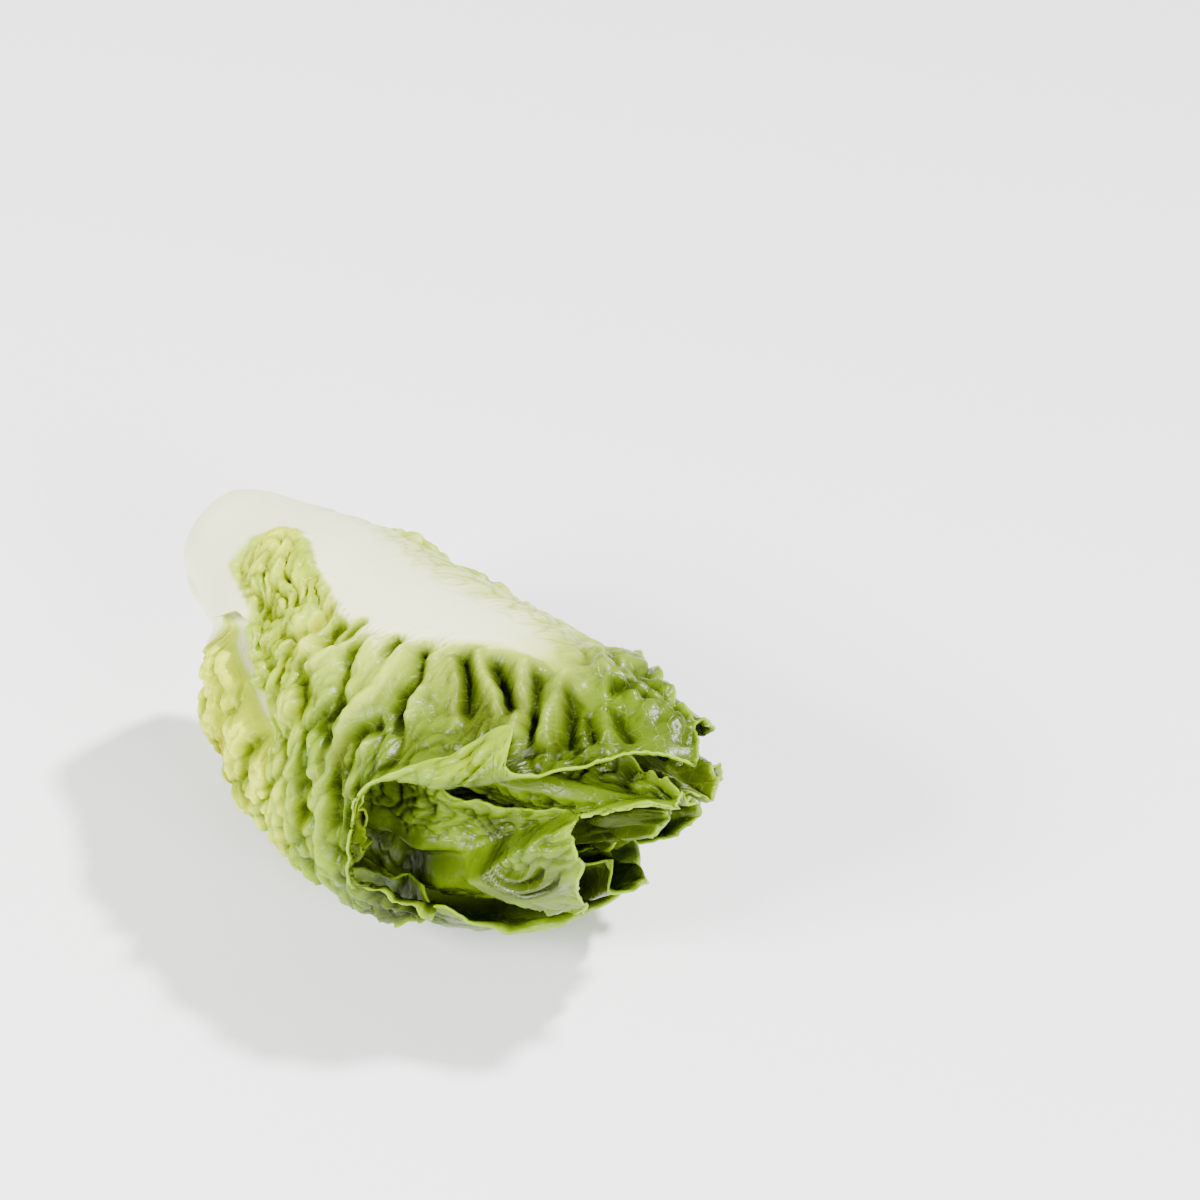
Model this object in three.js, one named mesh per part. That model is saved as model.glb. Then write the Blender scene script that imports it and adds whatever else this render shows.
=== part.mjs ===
// A little romaine heart, lying on its side: a cut stem with crisp leaves wrapped round it in layers.
// Millimetres, +Z up. The head runs along +X from the cut butt to the leaf tips, and the floor is z = 0.
import * as THREE from 'three';

// Driving dimensions of the head, in millimetres
const HEAD_LENGTH = 148;
const SIDE_SHARE = 1.06; // half width of the head, as a share of its profile radius
const RISE_SHARE = 0.96; // half height, likewise
const FLOOR_SHARE = 0.8; // how high a layer stays over the floor, as a share of its depth
const LAYER_GAP = 0.95; // air between two leaves at the head's widest
const LEAST_BLADE = 1.0; // blade thickness out in the blade
const BASE_BLADE = 3.0; // blade thickness at the butt
const BASE_CROWDING = 0.7; // rows of points lie closer at a leaf's base, by this share
const COVER_BAND = 11; // how far past its own edge a leaf still presses on the layers below

// Each row is a place along the head, from 0 at the butt to 1 at the tip, and a size there.
const WIDEST = 37;
const PROFILE_RADIUS = [[0, 13], [0.03, 15.5], [0.08, 18], [0.14, 22.5], [0.2, 28], [0.28, 33.3],
  [0.4, 36.5], [0.53, 37], [0.66, 34.5], [0.8, 28], [0.9, 21], [1, 12]];
const AXIS_HEIGHT = [[0, 49], [0.1, 46.3], [0.28, 36], [0.4, 33.4], [0.55, 33], [0.7, 35.5], [0.85, 41.5],
  [1, 48.5]];
const AXIS_SWAY = [[0, 11], [0.1, 9], [0.2, 6], [0.5, 0], [0.8, 1], [1, 4]];

// How far each inner leaf leans in over the heart towards the tip.
const CLOSING = 1.1;

// The hollow under the top leaf's edge, where the inner leaves sink in.
const HOLLOW = { place: 0.7, angle: 80, length: 0.12, spread: 24, depth: 4 };

// Leaves, from the outermost to the innermost. Angles are in degrees, round the head from the top
// towards -Y. near and far are rows of [place, half width] on the two sides of the midrib.
// rib: full width at the base and the tip, and thickness at the base and the tip.
// swells: soft bulges, each with its place, angle, length, spread and rise.
const LEAVES = [
  { name: 'leaf_top', angle: [[0, 4], [0.12, 0], [0.2, -8], [0.3, -6], [0.42, -2], [0.5, -4], [0.6, -10],
    [0.68, -10], [0.76, -4], [0.84, 4], [1, 2]], from: 0, to: 0.975, round: 0.06,
    near: [[0, 86], [0.08, 87], [0.12, 84], [0.16, 74], [0.2, 62], [0.24, 54], [0.3, 57], [0.36, 62], [0.41, 67],
      [0.45, 90], [0.49, 116], [0.54, 126], [0.59, 109], [0.63, 74], [0.72, 62], [0.82, 40], [0.92, 22], [1, 12]],
    covers: [[0, 86], [0.08, 87], [0.12, 84], [0.16, 74], [0.2, 62], [0.24, 54], [0.3, 57], [0.36, 62], [0.41, 67],
      [0.45, 90], [0.49, 116], [0.54, 126], [0.6, 126], [0.72, 100], [0.82, 59], [0.92, 30], [1, 18]],
    far: [[0, 32], [0.12, 33], [0.3, 48], [0.5, 63], [0.7, 50], [0.85, 41], [1, 12]],
    rib: [30, 1.5, 4.2, 1.3], folds: 19, depth: 3.9, frill: 0.8, seed: 1,
    swells: [[0.23, 16, 0.06, 16, 2.6], [0.61, 74, 0.03, 22, 3.2], [0.7, 52, 0.09, 8, 2.2],
      [0.6, 98, 0.07, 18, 1.6]], grid: [72, 15] },
  { name: 'leaf_bottom', angle: [[0, 172], [0.4, 182], [1, 185]], from: 0, to: 0.86, round: 0.12,
    near: [[0, 30], [0.1, 32], [0.4, 50], [0.86, 26]],
    far: [[0, 30], [0.1, 32], [0.4, 46], [0.6, 66], [0.72, 66], [0.86, 30]],
    rib: [24, 22, 3.2, 1.4], folds: 8, depth: 2.4, frill: 0.8, seed: 2, grid: [22, 12] },
  { name: 'leaf_far_low', angle: [[0, -122], [1, -114]], from: 0, to: 0.88, round: 0.12,
    near: [[0, 31], [0.1, 33], [0.35, 56], [0.65, 54], [0.88, 28]],
    far: [[0, 31], [0.1, 33], [0.35, 52], [0.65, 50], [0.88, 28]],
    rib: [22, 3, 3.6, 1.3], folds: 10, depth: 3.2, frill: 1.0, seed: 4, grid: [24, 8] },
  { name: 'leaf_near', angle: [[0, 52], [0.15, 52], [0.35, 68], [0.6, 82], [1, 92]], from: 0.07, to: 0.66,
    round: 0.12,
    near: [[0, 32], [0.08, 38], [0.2, 56], [0.35, 62], [0.66, 34]],
    far: [[0, 30], [0.1, 32], [0.3, 40], [0.45, 40], [0.66, 28]],
    rib: [23, 3, 3.8, 1.3], folds: 11, depth: 3.0, frill: 1.2, seed: 5, sink: 1.2,
    swells: [[0.16, 72, 0.04, 10, 2.4], [0.25, 86, 0.05, 10, 3.6], [0.34, 98, 0.05, 11, 2.8]],
    grid: [28, 10] },
  { name: 'leaf_far', angle: [[0, -60], [1, -54]], from: 0, to: 0.91, round: 0.12,
    near: [[0, 30], [0.1, 32], [0.35, 52], [0.65, 50], [0.91, 26]],
    far: [[0, 30], [0.1, 32], [0.35, 54], [0.65, 54], [0.91, 28]],
    rib: [22, 3, 3.6, 1.3], folds: 10, depth: 3.4, frill: 1.0, seed: 6, grid: [24, 9] },
  { name: 'leaf_low', angle: [[0, 108], [1, 112]], from: 0, to: 0.9, round: 0.12,
    near: [[0, 30], [0.1, 32], [0.35, 46], [0.7, 48], [0.9, 28]],
    far: [[0, 30], [0.1, 32], [0.35, 50], [0.7, 48], [0.9, 26]],
    rib: [18, 2.5, 3.0, 1.3], folds: 9, depth: 3.2, frill: 1.2, seed: 8, sink: 2.0, grid: [23, 9] },
  { name: 'leaf_front', angle: [[0, 40], [1, 44]], from: 0.06, to: 0.985, round: 0.1,
    near: [[0, 28], [0.35, 46], [0.7, 50], [1, 22]],
    far: [[0, 28], [0.35, 46], [0.7, 48], [1, 24]],
    rib: [13, 2, 2.6, 1.2], folds: 10, depth: 3.0, frill: 1.2, seed: 7, sink: 0.8, grid: [24, 8] },
  { name: 'leaf_under', angle: [[0, 152], [1, 156]], from: 0.06, to: 0.93, round: 0.14,
    near: [[0, 28], [0.4, 42], [0.7, 44], [0.93, 26]],
    far: [[0, 28], [0.4, 42], [0.7, 44], [0.93, 26]],
    rib: [13, 2, 2.6, 1.2], folds: 8, depth: 2.4, frill: 1.0, seed: 9, sink: 1.0, grid: [18, 7] },
  { name: 'leaf_behind', angle: [[0, -86], [1, -84]], from: 0.06, to: 0.95, round: 0.14,
    near: [[0, 30], [0.4, 48], [0.7, 48], [0.95, 28]],
    far: [[0, 30], [0.4, 48], [0.7, 48], [0.95, 28]],
    rib: [13, 2, 2.6, 1.2], folds: 8, depth: 2.6, frill: 1.0, seed: 10, sink: 0.8, grid: [20, 8] },
  { name: 'leaf_crown', angle: [[0, -18], [1, -14]], from: 0.06, to: 1, round: 0.12,
    near: [[0, 28], [0.4, 46], [0.7, 50], [1, 28]],
    far: [[0, 28], [0.4, 46], [0.7, 50], [1, 28]],
    rib: [13, 2, 2.6, 1.2], folds: 8, depth: 2.6, frill: 1.2, seed: 11, sink: 1.1, grid: [20, 7] },
  { name: 'leaf_inner_1', angle: [[0, 66], [1, 74]], from: 0.14, to: 0.95, round: 0.12,
    near: [[0.14, 40], [0.4, 86], [0.7, 84], [0.95, 60]],
    far: [[0.14, 40], [0.4, 86], [0.7, 84], [0.95, 60]],
    rib: [9, 2, 2.2, 1.2], folds: 7, depth: 2.2, frill: 1.0, seed: 12, sink: 4.4, grid: [18, 10] },
  { name: 'leaf_inner_2', angle: [[0, -116], [1, -112]], from: 0.14, to: 0.94, round: 0.12,
    near: [[0.12, 50], [0.4, 84], [0.7, 80], [0.94, 60]],
    far: [[0.12, 50], [0.4, 84], [0.7, 80], [0.94, 60]],
    rib: [9, 2, 2.2, 1.2], folds: 7, depth: 2.2, frill: 1.0, seed: 13, sink: 2.4, grid: [18, 10] },
];

const STEM = { tip: 0.14, rings: 7, sides: 24, clearance: 0.8 };

// The heart of the head: the youngest leaves, still one crumpled bud.
const BUD = { from: 0.2, to: 0.93, taper: 0.14, rings: 18, sides: 20, clearance: 1.6, pleats: 7, depth: 1.6 };

// Small maths
const radians = (degrees) => degrees * Math.PI / 180;
const mix = (a, b, share) => a + (b - a) * share;
const clamp = (x, low, high) => Math.min(high, Math.max(low, x));

function smooth(low, high, x) {
  const t = clamp((x - low) / (high - low), 0, 1);
  return t * t * (3 - 2 * t);
}

// A smooth curve through rows of [place, size].
function along(rows, s) {
  const last = rows.length - 1;
  const at = clamp(s, rows[0][0], rows[last][0]);
  let i = 0;
  while (i < last - 1 && at > rows[i + 1][0]) i += 1;
  const slope = (k) => {
    const a = rows[Math.max(0, k - 1)];
    const b = rows[Math.min(last, k + 1)];
    return (b[1] - a[1]) / (b[0] - a[0]);
  };
  const step = rows[i + 1][0] - rows[i][0];
  const t = (at - rows[i][0]) / step;
  const t2 = t * t;
  const t3 = t2 * t;
  return (2 * t3 - 3 * t2 + 1) * rows[i][1] + (t3 - 2 * t2 + t) * step * slope(i)
    + (3 * t2 - 2 * t3) * rows[i + 1][1] + (t3 - t2) * step * slope(i + 1);
}

// A slow, smooth wander between -1 and 1.
function wander(x, y, seed) {
  return (Math.sin(1.7 * x + 2.3 * y + 1.3 * seed) + Math.sin(2.9 * x - 1.1 * y + 2.1 * seed)
    + Math.sin(1.3 * x - 3.7 * y + 0.7 * seed)) / 3;
}

// The head's own space: a place along it, an angle round it and a depth under its outline.
function headPoint(s, angle, depth) {
  const radius = along(PROFILE_RADIUS, s);
  const inward = depth > 0 ? depth / Math.cbrt(1 + (depth / radius) ** 3) : depth;
  const share = radius - inward;
  const y = along(AXIS_SWAY, s) - Math.sin(angle) * share * SIDE_SHARE;
  const z = along(AXIS_HEIGHT, s) + Math.cos(angle) * share * RISE_SHARE;
  return new THREE.Vector3(HEAD_LENGTH * (s - 0.5), y, Math.max(z, FLOOR_SHARE * Math.max(inward, 0)));
}

// The turn from a leaf's midrib to an angle, the short way round.
function turnFrom(leaf, s, angle) {
  const turn = angle - radians(along(leaf.angle, s));
  return turn - 2 * Math.PI * Math.round(turn / (2 * Math.PI));
}

// A leaf's tip is rounded: its end draws back towards its two margins.
function leafEnd(leaf, v) {
  return leaf.to - (leaf.to - leaf.from) * leaf.round * Math.abs(v) ** 3;
}

// Distance from the midrib's middle as a share of the rib's half width, from 0 to beyond 1.
function ribPlace(leaf, u, s, turn) {
  const half = mix(leaf.rib[0], leaf.rib[1], clamp(u, 0, 1) ** 0.8) / 2;
  return Math.abs(turn) * along(PROFILE_RADIUS, s) / half;
}

function thickness(leaf, u, rib) {
  const crown = (1 - Math.min(1, rib) ** 2) ** 2;
  const blade = mix(BASE_BLADE, LEAST_BLADE, smooth(0.02, 0.25, u));
  const spine = mix(leaf.rib[2], leaf.rib[3], smooth(0, 0.9, u));
  return Math.max(blade, mix(blade, spine, crown));
}

// How deep a leaf's folds reach at a place: none on the rib, more out in the blade.
function foldDepth(leaf, u, s, turn, rib) {
  const out = Math.max(0, rib - 1) * 3;
  const size = leaf.depth * (0.8 + 0.2 * wander(9 * s, 2 * turn, leaf.seed));
  return size * smooth(0, 6, out) * smooth(0.05, 0.25, u);
}

// 0 on a fold's crest and 1 in its valley. The crests are broad, the valleys narrow.
function valley(leaf, s, turn) {
  const drift = s + 0.05 * Math.abs(turn) * smooth(0.5, 0.9, s) * -1;
  const side = turn > 0 ? 0 : 0.37;
  const phase = leaf.folds * drift + side + 0.2 * wander(12 * s, 3 * turn, leaf.seed + 4);
  return 1 - Math.abs(Math.sin(Math.PI * phase));
}

// Where a leaf presses on what lies under it, from 1 under the leaf to 0 past its edge.
function cover(leaf, s, angle) {
  const turn = turnFrom(leaf, s, angle);
  const half = radians(along(turn > 0 ? leaf.covers || leaf.near : leaf.far, s));
  const size = along(PROFILE_RADIUS, s) / WIDEST;
  const past = (Math.abs(turn) - half) * WIDEST;
  const beyond = (s - leafEnd(leaf, clamp(turn / half, -1, 1))) * HEAD_LENGTH;
  const before = (leaf.from - s) * HEAD_LENGTH;
  const mask = 1 - smooth(1.5, COVER_BAND, Math.max(past, beyond, before * 1.6));
  if (mask <= 0) return 0;
  const u = clamp((s - leaf.from) / (leaf.to - leaf.from), 0, 1);
  const held = clamp(turn, -half, half);
  const rib = ribPlace(leaf, u, s, held);
  const frill = leaf.frill * smooth(0.1, 0.3, u);
  const room = foldDepth(leaf, u, s, held, rib) + thickness(leaf, u, rib) + frill;
  return mask * (room + LAYER_GAP * Math.max(0.65, size) + (leaf.sink || 0) * smooth(0, 0.1, u));
}

// The depth at which the layer of that index begins.
function layerDepth(index, s, angle) {
  let depth = 0;
  for (let j = 0; j < index; j += 1) depth += cover(LEAVES[j], s, angle);
  if (index > 3) {
    const place = (s - HOLLOW.place) / HOLLOW.length;
    const turn = (angle - radians(HOLLOW.angle)) / radians(HOLLOW.spread);
    depth += HOLLOW.depth * Math.exp(-place * place - turn * turn);
  }
  return depth + CLOSING * Math.max(0, index - 5) * smooth(0.6, 1, s);
}

// A point of a leaf, on its outer or its inner face. u runs from its base to its tip, v across it.
function leafPoint(index, u, v, inner) {
  const leaf = LEAVES[index];
  const s = leaf.from + u * (leafEnd(leaf, v) - leaf.from);
  const turn = v * radians(along(v > 0 ? leaf.near : leaf.far, s));
  const angle = radians(along(leaf.angle, s)) + turn;
  const rib = ribPlace(leaf, u, s, turn);
  const edge = smooth(0.75, 1, Math.max(Math.abs(v), u));
  const ripple = Math.sin(2 * Math.PI * (2.1 * leaf.folds * s + 2.4 * v * u));
  let depth = layerDepth(index, s, angle) + (leaf.sink || 0) * smooth(0, 0.1, u);
  depth += foldDepth(leaf, u, s, turn, rib) * valley(leaf, s, turn);
  depth += leaf.frill * edge * (0.5 + 0.5 * ripple) * smooth(0.1, 0.3, u);
  (leaf.swells || []).forEach(([place, at, long, wide, rise]) => {
    const [x, y] = [(s - place) / long, (angle - radians(at)) / radians(wide)];
    depth -= rise * Math.exp(-x * x - y * y);
  });
  if (inner) depth += thickness(leaf, u, rib);
  return headPoint(s, angle, depth);
}

// A closed mesh between two grids of points, cols by rows, split into triangles alike on both faces.
function shell(outer, inner, cols, rows) {
  const positions = [];
  [...outer, ...inner].forEach((p) => positions.push(p.x, p.y, p.z));
  const at = (i, j) => i * rows + j;
  const under = outer.length;
  const index = [];
  for (let i = 0; i < cols - 1; i += 1) {
    for (let j = 0; j < rows - 1; j += 1) {
      const [a, b, c, d] = [at(i, j), at(i + 1, j), at(i + 1, j + 1), at(i, j + 1)];
      const faces = (i + j) % 2 ? [[a, b, d], [b, c, d]] : [[a, b, c], [a, c, d]];
      faces.forEach(([p, q, r]) => index.push(p, q, r, p + under, r + under, q + under));
    }
  }
  const rim = [];
  for (let i = 0; i < cols - 1; i += 1) rim.push(at(i, 0));
  for (let j = 0; j < rows - 1; j += 1) rim.push(at(cols - 1, j));
  for (let i = cols - 1; i > 0; i -= 1) rim.push(at(i, rows - 1));
  for (let j = rows - 1; j > 0; j -= 1) rim.push(at(0, j));
  rim.forEach((a, k) => {
    const b = rim[(k + 1) % rim.length];
    index.push(a, a + under, b + under, a, b + under, b);
  });
  return solid(positions, index);
}

// A geometry with its faces pointing out.
function solid(positions, index) {
  const corner = (k) => new THREE.Vector3().fromArray(positions, 3 * index[k]);
  let volume = 0;
  for (let k = 0; k < index.length; k += 3) volume += corner(k).dot(corner(k + 1).cross(corner(k + 2)));
  const facing = volume > 0 ? index : index.slice().reverse();
  const geometry = new THREE.BufferGeometry();
  geometry.setAttribute('position', new THREE.Float32BufferAttribute(positions, 3));
  geometry.setIndex(facing);
  geometry.computeVertexNormals();
  return geometry;
}

function leafGeometry(index) {
  const [cols, rows] = LEAVES[index].grid.map((n) => n + 1);
  const face = (inner) => {
    const points = [];
    for (let i = 0; i < cols; i += 1) {
      for (let j = 0; j < rows; j += 1) {
        const step = i / (cols - 1);
        const u = step * mix(BASE_CROWDING, 1, step);
        points.push(leafPoint(index, u, 2 * j / (rows - 1) - 1, inner));
      }
    }
    return points;
  };
  return shell(face(false), face(true), cols, rows);
}

// A closed body round the head's axis. rings rows of sides points, and the two ends of the axis.
function coreGeometry(from, to, rings, sides, pointAt) {
  const positions = [];
  const index = [];
  for (let ring = 0; ring < rings; ring += 1) {
    const s = mix(from, to, ring / (rings - 1));
    for (let k = 0; k < sides; k += 1) positions.push(...pointAt(s, 2 * Math.PI * k / sides).toArray());
  }
  for (const s of [from, to]) {
    positions.push(HEAD_LENGTH * (s - 0.5), along(AXIS_SWAY, s), along(AXIS_HEIGHT, s));
  }
  const [low, high] = [rings * sides, rings * sides + 1];
  const end = (rings - 1) * sides;
  for (let k = 0; k < sides; k += 1) {
    const next = (k + 1) % sides;
    for (let row = 0; row < end; row += sides) {
      index.push(row + k, row + sides + k, row + sides + next, row + k, row + sides + next, row + next);
    }
    index.push(low, k, next, high, end + next, end + k);
  }
  return solid(positions, index);
}

// The stem fills the middle of the butt, cut flat at its end, and narrows where the inner leaves leave it.
function stemGeometry() {
  return coreGeometry(0, STEM.tip, STEM.rings, STEM.sides, (s, angle) => (
    headPoint(s, angle, layerDepth(LEAVES.length, s, angle) + STEM.clearance)));
}

function budGeometry() {
  return coreGeometry(BUD.from, BUD.to, BUD.rings, BUD.sides, (s, angle) => {
    const pleat = 0.5 + 0.5 * Math.sin(BUD.pleats * angle + 9 * s + wander(8 * s, angle, 3));
    const depth = layerDepth(LEAVES.length, s, angle) + BUD.clearance + BUD.depth * pleat;
    const outer = headPoint(s, angle, depth);
    const middle = new THREE.Vector3(outer.x, along(AXIS_SWAY, s), along(AXIS_HEIGHT, s));
    const close = Math.max(0, 1 - (BUD.to - s) / BUD.taper);
    const open = Math.min(1, (s - BUD.from) / 0.08);
    return middle.lerp(outer, Math.sqrt(1 - 0.95 * close * close) * mix(0.3, 1, open));
  });
}

// Colours: pale at the stem, greener towards the outer leaves
const heart = new THREE.Group();
LEAVES.forEach((leaf, index) => {
  const colour = new THREE.Color().setHSL(0.19 + 0.01 * (index % 4), 0.48, 0.55);
  const material = new THREE.MeshStandardMaterial({ color: colour, roughness: 0.45, metalness: 0 });
  const mesh = new THREE.Mesh(leafGeometry(index), material);
  mesh.name = leaf.name;
  heart.add(mesh);
});
[['inner_bud', budGeometry(), 0xdfe08a], ['stem', stemGeometry(), 0xeeedd2]].forEach(([name, geometry, color]) => {
  const mesh = new THREE.Mesh(geometry, new THREE.MeshStandardMaterial({ color, roughness: 0.6 }));
  mesh.name = name;
  heart.add(mesh);
});

// The origin is under the middle of the head's box, on the floor.
const box = new THREE.Box3().setFromObject(heart);
heart.children.forEach((mesh) => {
  mesh.geometry.translate(-(box.min.x + box.max.x) / 2, -(box.min.y + box.max.y) / 2, -box.min.z);
});

export default heart;
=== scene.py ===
# A little romaine heart on a pale floor. Lengths in the shape functions are millimetres.
import math
from types import SimpleNamespace

import bpy
import numpy as np
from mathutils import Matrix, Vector


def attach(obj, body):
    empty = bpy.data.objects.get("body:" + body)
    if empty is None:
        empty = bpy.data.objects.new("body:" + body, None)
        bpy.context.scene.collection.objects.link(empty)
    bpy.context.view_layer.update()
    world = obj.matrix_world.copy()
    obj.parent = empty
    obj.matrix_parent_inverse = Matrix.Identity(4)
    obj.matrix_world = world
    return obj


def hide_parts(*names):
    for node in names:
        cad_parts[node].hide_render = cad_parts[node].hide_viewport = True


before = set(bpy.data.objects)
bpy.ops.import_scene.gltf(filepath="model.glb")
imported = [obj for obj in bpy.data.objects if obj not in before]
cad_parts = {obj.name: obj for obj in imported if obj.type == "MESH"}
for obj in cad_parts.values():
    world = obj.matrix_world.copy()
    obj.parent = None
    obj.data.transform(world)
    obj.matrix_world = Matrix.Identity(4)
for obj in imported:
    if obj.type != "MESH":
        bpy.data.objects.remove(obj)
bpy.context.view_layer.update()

# The head, as the solids have it: rows of [place along the head, size]
HEAD_LENGTH = 148.0
SIDE_SHARE = 1.06
RISE_SHARE = 0.96
FLOOR_SHARE = 0.8
LAYER_GAP = 0.95
WIDEST = 37.0
COVER_BAND = 11.0
CLOSING = 1.1
MIDDLE = np.array([-0.0243, -0.5649, 0.0])
RADIUS = [[0, 13], [0.03, 15.5], [0.08, 18], [0.14, 22.5], [0.2, 28], [0.28, 33.3], [0.4, 36.5],
          [0.53, 37], [0.66, 34.5], [0.8, 28], [0.9, 21], [1, 12]]
HEIGHT = [[0, 49], [0.1, 46.3], [0.28, 36], [0.4, 33.4], [0.55, 33], [0.7, 35.5], [0.85, 41.5], [1, 48.5]]
SWAY = [[0, 11], [0.1, 9], [0.2, 6], [0.5, 0], [0.8, 1], [1, 4]]
# The hollow on its near side, as [place, angle, length, spread, depth], and the inner leaves' own dip in it
HOLLOW = [0.7, 80, 0.12, 24, 4]
DIP = [0.7, 86, 0.1, math.degrees(0.4), 3]
# Counted from 0, the last leaves that the hollow, the dip and the closing of the tip leave as they are
HOLLOW_BELOW = 3
DIP_BELOW = 2
CLOSING_BELOW = 5

# A leaf's wall: blade thickness at the base and further out, the thickest wall in metres, and its thin share
BASE_BLADE = 3.0
THIN_BLADE = 1.0
SPINE_OVER_BLADE = 3.2
WALL = 0.0034
THIN_SHARE = 0.14
WALL_LEVELS = 20
# Radius of the rolled margins, how far the near lobe's crinkles are set in, the radius at which the hollow's
# ripples lie, and the width of one ripple
RIM_ROLL = 2.6
LOBE_DROP = 2.6
RING_RADIUS = 32
RIPPLE = 2.7
# Where the bud and the stem begin and end along the head, and about how thick they are
BUD_SPAN = (0.2, 0.93)
STEM_SPAN = (0.005, 0.14)
CORE_RADIUS = 12

# Colours: greens run from a young leaf's, 0, to a ripe one's, 1. The lit greens are the leaf's own; the
# darker greens below them are painted shade, mixed in along its creases and folds
LIT_GREENS = [(0.0, (0.6, 0.7, 0.012)), (0.14, (0.37, 0.49, 0.006)), (0.32, (0.23, 0.34, 0.004)),
              (0.55, (0.12, 0.205, 0.002)), (0.8, (0.075, 0.125, 0.002)), (1.0, (0.04, 0.062, 0.001))]
PAINTED_SHADE_GREENS = [(0.0, (0.26, 0.26, 0.0005)), (0.3, (0.085, 0.12, 0.0004)), (0.55, (0.025, 0.046, 0.0003)),
               (0.8, (0.012, 0.021, 0.0002)), (1.0, (0.006, 0.011, 0.0002))]
VEIN_GREEN = (0.32, 0.44, 0.03)
RIM_LIME = (0.27, 0.42, 0.01)
PALE_LIME = (0.46, 0.58, 0.06)
IVORY = (0.85, 0.87, 0.52)
STEM_FLESH = [(0.3, (0.78, 0.77, 0.48)), (0.7, (0.86, 0.87, 0.6))]
STEM_BROWN = [(0.35, (0.74, 0.68, 0.42)), (0.6, (0.55, 0.38, 0.18))]
GLOSSY_LEAVES = ("leaf_low", "leaf_front", "leaf_under", "leaf_crown", "leaf_behind")

# The photograph's view, in degrees and metres: how far the camera stands round and above the head, its lens
# in millimetres, the point it is set from and how far it is moved from there
VIEW_AROUND = 39
VIEW_ABOVE = 36
LENS = 74.6
VIEW_POINT = (0, 0, 0.0343)
VIEW_RIGHT = 0.0374
VIEW_UP = 0.0305
VIEW_DISTANCE = 0.547
LIT_POINT = (0, 0, 0.035)

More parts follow.
